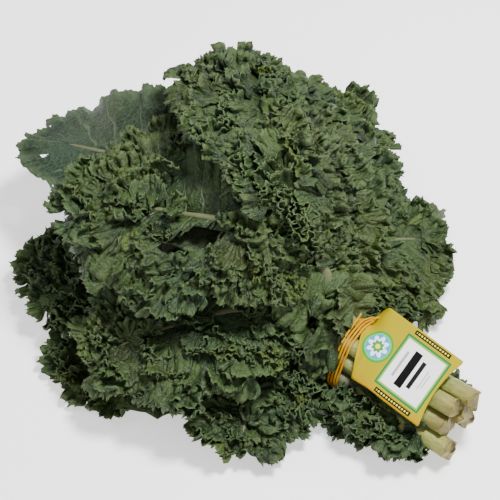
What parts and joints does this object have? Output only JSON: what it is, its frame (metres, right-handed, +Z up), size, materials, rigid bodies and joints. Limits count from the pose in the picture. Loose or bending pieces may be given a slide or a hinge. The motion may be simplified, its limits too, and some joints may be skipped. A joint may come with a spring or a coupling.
{
  "type": "kale bunch",
  "caption": "Bunch of curly kale lying down: frilled leaves fanned into a low dome, pale cut stalks gathered by a wound strand that also holds a plain printed card.",
  "frame": {"origin": "middle of the bounding box, on the surface that the bunch lies on", "axes": "+X towards the cut ends of the stalks, along the longest side; +Z up, the shortest side"},
  "size_m": [0.4406, 0.3594, 0.1821],
  "materials": {
    "leaf": "matt waxy leaf, paler veins, pale green stalk",
    "tie": "satin coated strand",
    "card": "printed coated card"
  },
  "bodies": {
    "root": {"leaf_01": "leaf", "leaf_02": "leaf", "leaf_03": "leaf", "leaf_04": "leaf", "leaf_05": "leaf", "leaf_06": "leaf", "leaf_07": "leaf", "leaf_08": "leaf", "leaf_09": "leaf", "leaf_10": "leaf", "leaf_11": "leaf", "leaf_12": "leaf", "tie": "tie", "card": "card"}
  },
  "joints": []
}
